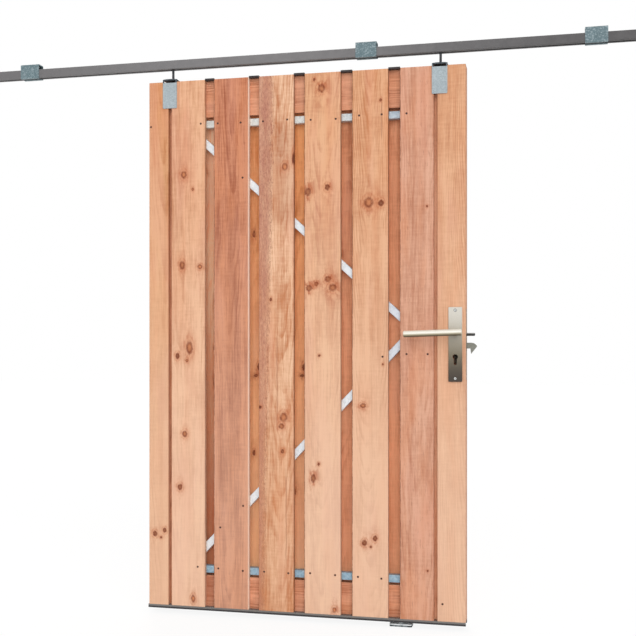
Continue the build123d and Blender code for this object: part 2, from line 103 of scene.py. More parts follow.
class Graph:
    """Short calls for building a node tree."""

    def __init__(self, tree):
        self.tree = tree

    def node(self, kind, inputs=None, **settings):
        made = self.tree.nodes.new(kind)
        for key, value in settings.items():
            setattr(made, key, value)
        for key, value in (inputs or {}).items():
            self.put(made.inputs[key], value)
        return made

    def put(self, socket, value):
        if isinstance(value, bpy.types.NodeSocket):
            self.tree.links.new(value, socket)
        else:
            socket.default_value = value

    def math(self, operation, a, b=0.0, clamp=False):
        made = self.node("ShaderNodeMath", {0: a, 1: b}, operation=operation, use_clamp=clamp)
        return made.outputs[0]

    def add(self, *terms):
        total = terms[0]
        for term in terms[1:]:
            total = self.math("ADD", total, term)
        return total

    def sub(self, a, b):
        return self.math("SUBTRACT", a, b)

    def mul(self, a, b):
        return self.math("MULTIPLY", a, b)

    def divide(self, a, b):
        return self.math("DIVIDE", a, b)

    def length(self, a, b):
        return self.math("SQRT", self.add(self.mul(a, a), self.mul(b, b)))

    def bell(self, value, sharpness=1.0):
        """1 where the value is zero, falling off to both sides."""
        return self.math("EXPONENT", self.mul(self.mul(value, value), -sharpness))

    def centred(self, value, size):
        """A noise value of 0 to 1 made into a swing round zero."""
        return self.mul(self.sub(value, 0.5), size)

    def ramp(self, value, low, high, to_low=0.0, to_high=1.0):
        made = self.node(
            "ShaderNodeMapRange",
            {0: value, 1: low, 2: high, 3: to_low, 4: to_high},
            interpolation_type="SMOOTHSTEP",
        )
        return made.outputs[0]

    def mix(self, amount, a, b):
        made = self.node("ShaderNodeMix", {0: amount, 6: a, 7: b}, data_type="RGBA")
        return made.outputs[2]

    def xyz(self, x, y, z):
        return self.node("ShaderNodeCombineXYZ", {0: x, 1: y, 2: z}).outputs[0]

    def split(self, vector):
        return self.node("ShaderNodeSeparateXYZ", {0: vector}).outputs[:3]

    def noise(self, vector, scale=1.0, detail=2.0, roughness=0.5):
        made = self.node(
            "ShaderNodeTexNoise",
            {"Vector": vector, "Scale": scale, "Detail": detail, "Roughness": roughness},
        )
        return made.outputs["Fac"]

    def stretched(self, x, y, z, across, along, detail=2.0, roughness=0.5):
        """Noise with so many waves a metre across the grain and along it."""
        vector = self.xyz(self.mul(x, across), y, self.mul(z, along))
        return self.noise(vector, 1.0, detail, roughness)

    def lengthwise(self, start, z, along, detail=2.0, roughness=0.5):
        """Noise that changes only along the grain, another one for each start."""
        return self.noise(self.xyz(start, 0.0, self.mul(z, along)), 1.0, detail, roughness)

    def place(self):
        return self.node("ShaderNodeTexCoord").outputs["Object"]

    def normal(self):
        return self.node("ShaderNodeTexCoord").outputs["Normal"]


def new_material(name):
    material = bpy.data.materials.new(name)
    material.use_nodes = True
    material.node_tree.nodes.clear()
    return material, Graph(material.node_tree)


def close_material(g, colour, roughness, bump, depth, metallic=0.0, shine=0.5):
    """Adds the shader and the output to a tree."""
    shader = g.node(
        "ShaderNodeBsdfPrincipled",
        {"Base Color": colour, "Roughness": roughness, "Metallic": metallic,
         "Specular IOR Level": shine},
    )
    made = g.node("ShaderNodeBump", {"Height": bump, "Strength": 0.4, "Distance": depth})
    g.put(shader.inputs["Normal"], made.outputs[0])
    g.node("ShaderNodeOutputMaterial", {0: shader.outputs[0]})


# Knots: one group bends the grain round a knot, the other paints it
def knot_group(name, extra_inputs, outputs):
    """A group with the place in a knot, 1 at the knot's edge across and along the grain."""
    tree = bpy.data.node_groups.new(name, "ShaderNodeTree")
    face = tree.interface
    face.new_socket("Place", in_out="INPUT", socket_type="NodeSocketVector")
    for key in ("X", "Z", "Half width", "Half height"):
        face.new_socket(key, in_out="INPUT", socket_type="NodeSocketFloat")
    for key, kind in extra_inputs:
        face.new_socket(key, in_out="INPUT", socket_type=kind)
    for key, kind in outputs:
        face.new_socket(key, in_out="OUTPUT", socket_type=kind)
    g = Graph(tree)
    given = g.node("NodeGroupInput").outputs
    x, _, z = g.split(given["Place"])
    dx = g.sub(x, given["X"])
    dz = g.sub(z, given["Z"])
    across = g.divide(dx, given["Half width"])
    along = g.divide(dz, given["Half height"])
    return g, given, dx, across, along


def make_knot_push():
    """How far the grain is drawn towards a knot, which bends it round the knot."""
    g, given, dx, across, along = knot_group("knot_push", (), (("Push", "NodeSocketFloat"),))
    reach = g.bell(g.length(g.mul(across, 0.55), g.mul(along, 0.34)))
    g.node("NodeGroupOutput", {"Push": g.mul(g.mul(dx, reach), 0.9)})
    return g.tree


def knot_flames(g, given, across, along, rays):
    """Red-brown flames that reach further along the grain than across it."""
    reach = g.bell(g.length(g.mul(across, 0.42), g.mul(along, 0.27)))
    return g.mul(g.mul(reach, g.ramp(rays, 0.44, 0.6)), given["Glow"])


def make_knot_paint():
    """Flames, halo, outline, heart and rim of a knot, each painted over the last."""
    g, given, _, across, along = knot_group(
        "knot_paint",
        (("Darkness", "NodeSocketFloat"), ("Glow", "NodeSocketFloat"),
         ("Wood", "NodeSocketColor")),
        (("Colour", "NodeSocketColor"), ("Core", "NodeSocketFloat")),
    )
    round_distance = g.length(across, along)
    ragged = g.centred(g.noise(given["Place"], scale=150.0, detail=3.0, roughness=0.65), 0.8)
    distance = g.add(round_distance, ragged)
    outward = g.add(round_distance, 0.35)
    rays = g.noise(
        g.xyz(
            g.mul(g.divide(across, outward), 1.5),
            g.add(g.mul(given["X"], 9.0), g.mul(round_distance, 0.3)),
            g.mul(g.divide(along, outward), 1.1),
        ),
        detail=4.0, roughness=0.6,
    )
    flame = knot_flames(g, given, across, along, rays)
    halo = g.mul(g.bell(g.mul(distance, 0.6)), 0.55)
    streaks = g.noise(g.xyz(g.mul(across, 2.6), given["X"], g.mul(along, 0.5)), detail=3.0)
    outline = g.mul(g.bell(g.sub(distance, 1.75), 16.0), 0.4)
    outline = g.mul(outline, g.ramp(streaks, 0.42, 0.55))
    rim = g.mul(g.bell(g.sub(distance, 0.8), 9.0), g.ramp(rays, 0.35, 0.6, 0.65, 1.0))
    rim_strength = g.add(g.mul(given["Darkness"], 0.25), 0.75)
    heart = g.ramp(distance, 0.55, 0.85, 1.0, 0.0)
    heart_colour = g.mix(given["Darkness"], PALE_HEART, DARK_HEART)
    colour = g.mix(g.mul(flame, 0.85), given["Wood"], KNOT_FLAME)
    colour = g.mix(halo, colour, KNOT_HALO)
    colour = g.mix(outline, colour, KNOT_OUTLINE)
    colour = g.mix(g.mul(heart, 0.85), colour, heart_colour)
    colour = g.mix(g.mul(rim, rim_strength), colour, KNOT_RIM)
    g.node("NodeGroupOutput", {"Colour": colour, "Core": heart})
    return g.tree


KNOT_PUSH = make_knot_push()
KNOT_PAINT = make_knot_paint()
# Places and half sizes are in mm; darkness is that of the heart, from 0 to 1
Knot = namedtuple("Knot", "x z half_width half_height darkness")


def use_group(g, tree, knot, inputs):
    """Outputs of one of the two groups for one knot."""
    made = g.node("ShaderNodeGroup", node_tree=tree)
    values = {
        "X": knot.x * MM, "Z": knot.z * MM, "Half width": knot.half_width * MM,
        "Half height": knot.half_height * MM, **inputs,
    }
    for key, value in values.items():
        g.put(made.inputs[key], value)
    return made.outputs


def grain_place(g, along):
    """Object coordinates with the grain along Z, also for a board that lies down."""
    place = g.place()
    if along == "x":
        x, y, z = g.split(place)
        place = g.xyz(z, y, x)
    return place


def bend_grain(g, place, x, z, seed, knots):
    """X of the grain, which wanders along the board and bends round its knots."""
    grain = g.add(x, g.centred(g.lengthwise(seed * WANDER_STEP, z, along=1.6, detail=1.0), 0.03))
    for knot in knots:
        grain = g.sub(grain, use_group(g, KNOT_PUSH, knot, {"Place": place})["Push"])
    return grain


def growth_rings(g, grain, y, z, shift, heart, back, lean, rings):
    """Late wood, from 0 to 1, in rings round a heart that leans."""
    depth = g.add(g.sub(y, back), g.mul(g.sub(z, HEART_LEVEL), lean))
    radius = g.length(g.sub(grain, heart), depth)
    drift = g.noise(g.xyz(g.add(grain, shift), y, g.mul(z, 0.3)), scale=12.0, detail=3.0)
    turn = g.math("FRACT", g.add(g.mul(radius, rings), g.mul(drift, 3.4)))
    late = g.mul(g.ramp(turn, 0.35, 0.85), g.ramp(turn, 0.88, 1.0, 1.0, 0.0))
    clear_where = g.stretched(grain, shift, z, across=14.0, along=1.8, detail=3.0)
    return g.mul(late, g.ramp(clear_where, 0.4, 0.68))


def add_patches(g, colour, x, y, z, shift):
    """Large warm and pink patches."""
    warm = g.stretched(x, y, z, across=20.0, along=3.0, detail=4.0)
    colour = g.mix(g.ramp(warm, 0.42, 0.7, 0.0, 0.3), colour, WARM_PATCH)
    pink = g.stretched(x, shift, z, across=13.0, along=2.2, detail=4.0)
    return g.mix(g.ramp(pink, 0.5, 0.7, 0.0, 0.3), colour, PINK_PATCH)


def add_band(g, colour, x, z, band, seed):
    """A rougher, darker strip with a wavy border at the left edge of a board."""
    top_edge, bottom_edge, tint = band
    drift = g.ramp(z, GATE_BOTTOM, GATE_TOP, bottom_edge * MM, top_edge * MM)
    wave = g.centred(g.lengthwise(seed, z, along=14.0, detail=6.0, roughness=0.7), 0.03)
    ragged = g.stretched(x, 0.0, z, across=90.0, along=60.0, detail=4.0, roughness=0.7)
    off = g.sub(g.add(x, wave, g.centred(ragged, 0.02)), drift)
    inside = g.ramp(off, -0.014, 0.008, 1.0, 0.0)
    speckle = g.stretched(x, 0.0, z, across=230.0, along=75.0, detail=4.0, roughness=0.8)
    cloud = g.stretched(x, 0.0, z, across=60.0, along=12.0, detail=4.0, roughness=0.6)
    colour = g.mix(g.mul(inside, g.ramp(cloud, 0.3, 0.7, 0.5, 0.95)), colour, tint)
    colour = g.mix(g.mul(inside, g.ramp(speckle, 0.45, 0.66, 0.0, 0.6)), colour, BAND_DARK)
    colour = g.mix(g.mul(inside, g.ramp(speckle, 0.46, 0.3, 0.0, 0.5)), colour, BAND_PALE)
    fringe = g.mul(g.bell(g.mul(off, 170.0)), g.ramp(speckle, 0.44, 0.6, 0.0, 0.6))
    return g.mix(fringe, colour, BAND_FRINGE)


def add_dark_streaks(g, colour, x, z, streaks):
    """Dark streaks that run with the grain, in the wood, and on the lower infill board also as
    painted shade.
    """
    for left, top, bottom, half_width, strength in streaks:
        waver = g.centred(g.lengthwise(left * MM, z, along=22.0, detail=3.0), 0.009)
        off = g.mul(g.sub(g.add(x, waver), left * MM), 1 / (half_width * MM))
        middle = (top + bottom) / 2 * MM
        half = (top - bottom) / 2 * MM
        ends = g.ramp(g.math("ABSOLUTE", g.sub(z, middle)), half * 0.6, half, 1.0, 0.0)
        colour = g.mix(g.mul(g.mul(g.bell(off), ends), strength), colour, STREAK_AND_SHADE_TINT)
    return colour


def add_flecks(g, colour, grain, y, z, strength, deep):
    """Short dark flecks, as in flat-sawn wood."""
    dots = g.stretched(grain, y, z, across=260.0, along=30.0, detail=3.0, roughness=0.6)
    tint = g.mix(0.5, deep, DARK_FLECK)
    return g.mix(g.mul(g.ramp(dots, 0.58, 0.7), strength), colour, tint)


def paint_edge_highlight(g, colour, x, start):
    """A painted highlight: a pale strip from a place in mm up to the right edge of a board."""
    strip = g.ramp(x, (start - 1) * MM, start * MM)
    return g.mix(g.mul(strip, 0.75), colour, EDGE_HIGHLIGHT_TINT)


def paint_side_light(g, colour, amount, tint):
    """Painted light on the faces that look along X: shade in a dark tint, highlight in a pale
    one.
    """
    sideways = g.math("ABSOLUTE", g.split(g.normal())[0])
    return g.mix(g.ramp(sideways, 0.5, 0.9, 0.0, amount), colour, tint)


def tint_foot(g, colour, z, amount, tint):
    """Another colour that comes in gradually towards the foot of the leaf."""
    down = g.ramp(z, GATE_TOP, GATE_BOTTOM)
    return g.mix(g.mul(down, amount), colour, tint)


def paint_arris_shade(g, colour, x, z, arris, seed):
    """Painted shade: a broken dark line at the left edge of a board."""
    broken = g.lengthwise(seed * ARRIS_STEP, z, along=30.0, detail=4.0, roughness=0.7)
    edge = g.ramp(x, arris, arris + ARRIS_WIDTH, 1.0, 0.0)
    return g.mix(g.mul(edge, g.ramp(broken, 0.36, 0.58, 0.15, 0.9)), colour, ARRIS_SHADE_TINT)


def paint_knots(g, colour, bump, place, knots, glow):
    """Paints each knot and raises its core a little."""
    for knot in knots:
        knot_glow = glow * min(1.0, knot.half_width / FULL_GLOW_WIDTH)
        painted = use_group(
            g, KNOT_PAINT, knot,
            {"Place": place, "Darkness": knot.darkness, "Glow": knot_glow, "Wood": colour},
        )
        colour = painted["Colour"]
        bump = g.add(bump, g.mul(painted["Core"], 0.4))
    return colour, bump


def wood(name, pale, deep, seed, knots=(), along="z", heart=0.0, back=0.09, lean=0.05,
         rings=210.0, ring_strength=0.5, contrast=1.0, foot=None, flecks=0.0, band=None,
         streaks=(), edge_highlight_start=None, glow=0.4, arris=None, side=(0.15, SIDE_SHADE_TINT)):
    """Sawn softwood: growth rings round a leaning heart, fibres, knots and saw marks.

    The heart of the tree stands at X heart and Y back. rings is how many there are a metre.
    foot and side are an amount and a colour; side paints shade on the faces that look along X,
    and a highlight where its colour is pale. glow is the strength of the flames round knots.
    """
    material, g = new_material(name)
    place = grain_place(g, along)
    x, y, z = g.split(place)
    shift = seed * GRAIN_STEP
    grain = bend_grain(g, place, x, z, seed, knots)
    late = growth_rings(g, grain, y, z, shift, heart, back, lean, rings)
    seeded_grain = g.add(grain, shift)
    seeded_x = g.add(x, shift)
    fibre = g.stretched(seeded_grain, y, z, across=170.0, along=8.0, detail=4.0, roughness=0.75)
    fine = g.stretched(seeded_grain, y, z, across=520.0, along=18.0)
    broad = g.stretched(seeded_grain, y, z, across=46.0, along=0.9, detail=4.0, roughness=0.55)
    cloud = g.stretched(seeded_x, y, z, across=9.0, along=4.0, detail=5.0, roughness=0.62)
    saw = g.stretched(seeded_x, y, z, across=20.0, along=130.0)
    tone = g.add(
        0.3,
        g.mul(late, ring_strength),
        g.centred(fibre, 2.3 * contrast),
        g.centred(fine, 0.8),
        g.centred(broad, 1.8 * contrast),
        g.centred(cloud, 2.2 * contrast),
        g.centred(saw, 0.6),
    )
    colour = g.mix(g.math("ADD", tone, 0.0, clamp=True), pale, deep)
    colour = add_patches(g, colour, seeded_x, y, z, shift)
    if band:
        colour = add_band(g, colour, x, z, band, seed)
    colour = add_dark_streaks(g, colour, x, z, streaks)
    if flecks:
        colour = add_flecks(g, colour, grain, y, z, flecks, deep)
    # painted highlight along the right edge
    if edge_highlight_start:
        colour = paint_edge_highlight(g, colour, x, edge_highlight_start)
    # painted shade on the faces that look along X, and a painted highlight where the tint is pale
    colour = paint_side_light(g, colour, *side)
    if foot:
        colour = tint_foot(g, colour, z, *foot)
    # painted shade along the left arris
    if arris is not None:
        colour = paint_arris_shade(g, colour, x, z, arris, seed)
    bump = g.add(g.mul(fibre, 0.5), g.mul(late, 0.3), g.mul(saw, 0.3))
    colour, bump = paint_knots(g, colour, bump, place, knots, glow)
    close_material(g, colour, roughness=0.65, bump=bump, depth=0.0006, shine=0.22)
    return material


def steel(name, colour, metallic, roughness=0.45, spangle=0.0, cells=150.0, cloud=0.1,
          shades=()):
    """Steel with fine unevenness. Each shade paints light or shade along an axis: (axis, from,
    to, colour).
    """
    material, g = new_material(name)
    place = g.place()
    ways = g.split(place)
    base = colour
    for axis, start, end, tint in shades:
        base = g.mix(g.ramp(ways["xyz".index(axis)], start, end), base, tint)
    dust = g.noise(place, scale=38.0, detail=4.0, roughness=0.6)
    base = g.mix(g.mul(g.ramp(dust, 0.35, 0.75), cloud), base, STEEL_DUST)
    if spangle:
        made = g.node("ShaderNodeTexVoronoi", {"Vector": place, "Scale": cells})
        flake = g.node("ShaderNodeSeparateColor", {0: made.outputs["Color"]}).outputs[0]
        base = g.mix(g.mul(g.ramp(flake, 0.5, 1.0), spangle), base, BRIGHT_FLAKE)
        base = g.mix(g.mul(g.ramp(flake, 0.5, 0.0), spangle), base, DARK_FLAKE)
    fine = g.noise(place, scale=420.0, detail=3.0, roughness=0.6)
    rough = g.ramp(dust, 0.2, 0.8, roughness - 0.06, roughness + 0.1)
    close_material(g, base, rough, bump=fine, depth=0.0001, metallic=metallic)
    return material


def change_at(axis, place, tint, softness=0.001):
    """Painted light or shade for steel that changes the colour at one place."""
    return axis, place - softness, place + softness, tint


def painted_light_steel(name, start, end, stops, round_bar):
    """Brushed steel with painted light and shade, upwards from start to end or by the normal
    round a bar.
    """
    material, g = new_material(name)
    x, y, z = g.split(g.place())
    way = g.split(g.normal())[2] if round_bar else z
    made = g.node("ShaderNodeValToRGB", {0: g.ramp(way, start, end)})
    elements = made.color_ramp.elements
    for index, (position, colour) in enumerate(stops):
        stop = elements[index] if index < 2 else elements.new(position)
        stop.position = position
        stop.color = colour
    brush = g.noise(g.xyz(g.mul(x, 900.0), g.mul(y, 900.0), g.mul(z, 2600.0)), detail=3.0)
    base = g.mix(g.ramp(brush, 0.3, 0.8, 0.0, 0.25), made.outputs[0], BRUSH_LINE)
    close_material(g, base, roughness=0.45, bump=brush, depth=0.0001, metallic=0.15)
    return material


def matt(name, colour, roughness):
    """Plastic or rubber with a fine grain."""
    material, g = new_material(name)
    place = g.place()
    cloud = g.noise(place, scale=24.0, detail=3.0)
    base = g.mix(g.mul(cloud, 0.14), colour, MATT_CLOUD)
    close_material(g, base, roughness, bump=g.noise(place, scale=700.0, detail=3.0), depth=0.0002)
    return material


def dress(name, material):
    """Gives a CAD node its material."""
    slots = nodes[name].data.materials
    slots.clear()
    slots.append(material)


# Knots of each front board: (x, z, half width, half height) in mm and the darkness
FRONT_KNOTS = {
    1: ((-736, -1654, 8, 9, 0.7), (-701, -1641, 6, 8, 0.7), (-714, -1666, 4, 4, 0.7)),
    2: ((-631, -418, 9, 12, 0.1), (-599, -469, 4, 5, 0.3), (-637, -729, 9, 13, 0.3),
        (-573, -735, 8, 7, 0.0), (-611, -1011, 11, 21, 0.2), (-654, -1040, 7, 10, 0.8),
        (-620, -1056, 5, 5, 0.3), (-628, -1307, 8, 10, 0.3), (-645, -1490, 8, 10, 0.6),
        (-597, -1871, 7, 12, 0.0)),
    4: ((-243, -379, 5, 20, 1.0), (-273, -405, 9, 12, 0.0), (-322, -849, 4, 6, 0.8),
        (-360, -1212, 6, 5, 1.0), (-277, -1245, 12, 15, 0.1), (-285, -1275, 9, 9, 0.3),
        (-281, -1359, 5, 7, 0.6)),
    5: ((-172, -119, 4, 5, 0.8), (-147, -149, 11, 13, 0.2), (-194, -492, 10, 13, 0.5),
        (-127, -479, 8, 10, 0.7), (-165, -799, 7, 7, 0.6), (-125, -784, 10, 10, 0.5),
        (-109, -812, 12, 12, 0.3), (-190, -813, 10, 10, 0.4), (-155, -1038, 4, 4, 0.9),
        (-157, -1399, 4, 5, 0.9), (-175, -1447, 8, 13, 0.5), (-103, -1881, 7, 9, 0.0)),
    6: ((52, -199, 4, 5, 0.6), (12, -533, 14, 16, 0.1), (53, -537, 9, 10, 0.8),
        (59, -1066, 3, 4, 0.7), (-7, -1202, 9, 7, 0.2), (-2, -1654, 8, 9, 0.7),
        (33, -1638, 7, 9, 0.7), (19, -1666, 4, 4, 0.7)),
    7: ((204, -552, 3, 4, 0.8), (206, -1736, 3, 4, 0.8)),
}
# Looks of each front board. A band is its right edge at the top and at the foot, in mm, and
# its colour. A streak is (x, top, bottom, half width) in mm and a strength.
# side is painted shade on the side faces, and painted highlight on those of board 3, which also
# has a painted highlight along its right edge.
FRONT_LOOKS = {
    1: dict(pale=screen(224, 169, 125), deep=screen(188, 122, 76), foot=(0.5, PALE_FOOT),
            heart=-0.70, back=0.06, lean=0.03, contrast=0.75),
    2: dict(pale=screen(231, 180, 143), deep=screen(190, 126, 88), foot=(0.55, PALE_FOOT),
            heart=-0.62, back=0.12, lean=0.02),
    3: dict(pale=screen(207, 139, 106), deep=screen(156, 85, 58), foot=(0.27, PALE_FOOT),
            heart=-0.46, back=0.05, lean=0.02, flecks=0.3, rings=260.0, edge_highlight_start=-401.5,
            side=(0.9, SIDE_HIGHLIGHT_TINT),
            streaks=((-455, -480, -1330, 19, 0.24), (-468, -1280, -1700, 13, 0.16),
                     (-448, -1180, -1700, 3, 0.35))),
    4: dict(pale=screen(240, 198, 164), deep=screen(192, 126, 88),
            foot=(0.3, screen(200, 136, 90)), heart=-0.29, back=0.08, lean=0.05, contrast=1.05,
            flecks=0.3, band=(-317, -346, screen(186, 128, 106)), side=(0.5, SIDE_SHADE_TINT),
            streaks=((-300, -950, -1330, 2.5, 0.5), (-268, -1400, -1760, 2.5, 0.5),
                     (-285, -220, -640, 45, 0.3))),
    5: dict(pale=screen(228, 177, 137), deep=screen(186, 120, 84), foot=(0.62, PALE_FOOT),
            heart=-0.14, back=0.10, lean=0.04, glow=1.0, side=(0.5, SIDE_SHADE_TINT)),
    6: dict(pale=screen(226, 173, 134), deep=screen(190, 124, 82), foot=(0.58, PALE_FOOT),
            heart=0.016, back=0.05, lean=0.06, ring_strength=0.7, glow=0.6,
            side=(0.5, SIDE_SHADE_TINT), streaks=((55, -175, -340, 2, 0.5),)),
    7: dict(pale=screen(221, 170, 143), deep=screen(186, 126, 98), heart=0.17, back=0.07,
            lean=0.03, contrast=0.9, flecks=0.45),
    8: dict(pale=screen(227, 175, 137), deep=screen(190, 126, 88), foot=(0.52, PALE_FOOT),
            heart=0.35, back=0.03, lean=0.04, contrast=0.75),
}
# Front boards whose left arris has painted shade as a dark line
SHADED_ARRIS_BOARDS = (3, 5, 6, 7)
REAR_KNOTS = {
    2: ((-531, -881, 6, 24, 0.5), (-535, -1015, 4, 7, 0.8), (-533, -1132, 6, 17, 0.6),
        (-533, -1483, 3, 5, 0.7), (-575, -400, 8, 10, 0.3)),
    3: ((-393, -623, 5, 11, 0.4), (-374, -1077, 7, 12, 0.8), (-386, -1107, 7, 5, 0.6),
        (-393, -1371, 5, 9, 0.7), (-430, -1600, 9, 11, 0.3)),
    4: ((-216, -1078, 7, 12, 0.9), (-224, -1106, 7, 5, 0.7), (-255, -1500, 9, 12, 0.3)),
    5: ((-95, -700, 8, 11, 0.4),),
    6: ((142, -1250, 9, 10, 0.4), (52, -480, 7, 9, 0.5)),
}
# Pale and deep colour of each rear board, and how far it goes to another colour at the foot
REAR_LOOKS = {
    1: (screen(232, 180, 144), screen(190, 130, 92), (0.4, PALE_FOOT)),
    2: (screen(255, 214, 174), screen(255, 170, 122), (0.83, screen(178, 96, 60))),
    3: (screen(255, 182, 126), screen(218, 136, 78), (0.5, screen(250, 200, 156))),
    4: (screen(255, 178, 116), screen(214, 130, 70), (0.55, screen(250, 200, 160))),
    5: (screen(242, 172, 130), screen(196, 122, 82), (0.25, screen(218, 152, 120))),
    6: (screen(246, 174, 132), screen(206, 130, 90), (0.3, screen(236, 166, 124))),
    7: (screen(230, 178, 142), screen(188, 128, 92), (0.4, PALE_FOOT)),
}
# Where the seeds of the boards behind the front ones begin
REAR_SEED = 20
STILE_SEED = 41
INFILL_SEED = 43


def dress_front_boards():
    for n, look in FRONT_LOOKS.items():
        knots = [Knot(*values) for values in FRONT_KNOTS.get(n, ())]
        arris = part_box(f"front_board_{n}")[0].x if n in SHADED_ARRIS_BOARDS else None
        material = wood(f"front_wood_{n}", seed=n, knots=knots, arris=arris, **look)
        dress(f"front_board_{n}", material)


def dress_rear_boards():
    for n, (pale, deep, foot) in REAR_LOOKS.items():
        low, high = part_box(f"rear_board_{n}")
        knots = [Knot(*values) for values in REAR_KNOTS.get(n, ())]
        material = wood(
            f"rear_wood_{n}", pale, deep, seed=REAR_SEED + n, knots=knots,
            heart=(low.x + high.x) / 2, back=-0.05 - 0.01 * n, lean=0.04, foot=foot, glow=0.8,
        )
        dress(f"rear_board_{n}", material)


def dress_inner_wood():
    """Stiles and infill boards. The lower infill board has painted shade in the first gap."""
    left = wood(
        "left_stile_wood", screen(222, 162, 128), screen(166, 104, 74), STILE_SEED, heart=-0.70)
    dress("left_wood_stile", left)
    right = wood(
        "right_stile_wood", screen(240, 184, 148), screen(196, 132, 100), STILE_SEED + 1,
        heart=0.25)
    dress("right_wood_stile", right)
    infill = dict(pale=screen(230, 166, 132), deep=screen(184, 116, 84), along="x", lean=0.0,
                  rings=320.0, ring_strength=0.8, back=0.06)
    upper = wood("top_infill_wood", seed=INFILL_SEED, heart=-0.15, **infill)
    dress("top_infill_board", upper)
    # the streak is painted shade at the foot of the first gap
    lower = wood("bottom_infill_wood", seed=INFILL_SEED + 1, heart=-1.86,
                 streaks=((-1845, -515, -565, 70, 0.45),), **infill)
    dress("bottom_infill_board", lower)


# Stretches of X over which the light on the metal changes
SLEEVE_SPAN = (-1.2, 0.75)
STRAP_SPAN = (-0.7, 0.25)
TUBE_SPAN = (-0.20, 0.12)
BRACE_SPAN = (-0.10, 0.18)
TRACK_LEFT_SPAN = (-1.30, -0.60)
TRACK_RIGHT_SPAN = (-0.40, 0.80)
# Heights above the lowest rail between which the tubes turn darker and bluer downwards, as
# painted shade
LOW_RAIL_SHADE_RISE = (0.05, 0.03)
# Height above the floor from which the floor guide has a painted highlight; below it its dark
# colour is painted shade
GUIDE_HIGHLIGHT_RISE = 0.005
# How far below the top of the leaf the painted shade on the strap's shoulder begins
SHOULDER_SHADE_DROP = 0.004


def galvanised_metals():
    rail_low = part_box("frame_rails")[0].z
    sleeve = steel(
        "galvanised_sleeve", screen(106, 127, 133), metallic=0.2, spangle=0.22, cells=300.0,
        shades=(("x", *SLEEVE_SPAN, screen(92, 113, 119)),),
    )
    guide = steel(
        "galvanised_guide", screen(44, 50, 52), metallic=0.1, spangle=0.25, cells=120.0,
        # dark as painted shade below, with a painted highlight above
        shades=(change_at("z", FLOOR + GUIDE_HIGHLIGHT_RISE, screen(246, 250, 252)),),
    )
    strap = steel(
        "galvanised_strap", screen(166, 177, 182), metallic=0.2, spangle=0.15, cells=300.0,
        cloud=0.04,
        shades=(("x", *STRAP_SPAN, screen(158, 169, 174)),
                # painted shade on the strap's shoulder over the top of the leaf
                change_at("z", GATE_TOP - SHOULDER_SHADE_DROP, screen(58, 66, 74), 0.0008)),
    )
    tube = steel(
        "galvanised_tube", screen(221, 221, 216), metallic=0.3, spangle=0.2, cloud=0.02,
        shades=(("x", *TUBE_SPAN, screen(176, 189, 201)),
                # painted shade on the lowest rail
                ("z", rail_low + LOW_RAIL_SHADE_RISE[0], rail_low + LOW_RAIL_SHADE_RISE[1], screen(152, 185, 205))),
    )
    brace = steel(
        "galvanised_brace", screen(236, 241, 245), metallic=0.3, spangle=0.13, cloud=0.02,
        shades=(("x", *BRACE_SPAN, screen(212, 218, 228)),),
    )
    return {"sleeve": sleeve, "guide": guide, "strap": strap, "tube": tube, "brace": brace}


def dark_metals():
    low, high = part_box("bottom_channel")
    track = steel(
        "track_steel", screen(112, 110, 111), metallic=0.15, roughness=0.5, cloud=0.08,
        shades=(("x", *TRACK_LEFT_SPAN, screen(122, 120, 121)),
                ("x", *TRACK_RIGHT_SPAN, screen(82, 80, 81))),
    )
    channel = steel(
        "channel_steel", screen(60, 60, 62), metallic=0.4, roughness=0.5,
        # painted shade: the lower half dark, the upper half lighter
        shades=(change_at("z", (low.z + high.z) / 2, screen(126, 124, 122)),),
    )
    return {
        "track": track,
        "channel": channel,
        "cap": steel("cap_steel", screen(56, 50, 50), metallic=0.3, roughness=0.55),
        "trolley": steel("dark_steel", screen(74, 74, 77), metallic=0.4, roughness=0.5),
        "rod": steel("rod_steel", screen(62, 64, 68), metallic=0.5, roughness=0.4),
        "lock": steel("lock_steel", screen(130, 131, 122), metallic=0.4),
    }


def handle_metals():
    """Painted light and shade on the plates upwards, and on the levers and the pin round their
    bars.

    Each list of stops gives its two ends first.
    """
    plate_low, plate_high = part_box("front_handle_plate")
    plate_light_stops = (
        (0.0, screen(54, 42, 34)), (1.0, screen(216, 212, 202)), (0.3, screen(122, 112, 92)),
        (0.52, screen(156, 148, 132)), (0.75, screen(186, 180, 166)),
    )
    lever_light_stops = (
        (0.0, screen(78, 70, 50)), (1.0, screen(240, 236, 222)), (0.2, screen(158, 150, 124)),
        (0.4, screen(220, 214, 192)), (0.62, screen(255, 252, 242)),
    )
    pin_light_stops = (
        (0.0, screen(20, 20, 22)), (1.0, screen(190, 190, 188)), (0.6, screen(34, 34, 36)),
        (0.8, screen(96, 96, 96)),
    )
    return {
        "plate": painted_light_steel("plate_steel", plate_low.z, plate_high.z, plate_light_stops, False),
        "lever": painted_light_steel("lever_steel", -1.0, 1.0, lever_light_stops, True),
        "pin": painted_light_steel("pin_steel", -1.0, 1.0, pin_light_stops, True),
    }


def small_materials():
    """Plastic and rubber parts, and the screws that only this script has, with the painted shade
    in their sockets and round the plate screws.
    """
    return {
        "roller": matt("roller_plastic", screen(48, 48, 50), roughness=0.5),
        "rubber": matt("stop_rubber", screen(36, 36, 37), roughness=0.8),
        "screw": steel("screw_steel", screen(92, 50, 32), metallic=0.3, roughness=0.5),
        # painted shade: dark discs for the screw sockets and the rings round the plate screws
        "recess": matt("screw_recess_shade", screen(46, 28, 22), roughness=0.7),
        "bright": steel(
            "bright_steel", screen(206, 208, 206), metallic=0.7, roughness=0.3, cloud=0.0),
    }


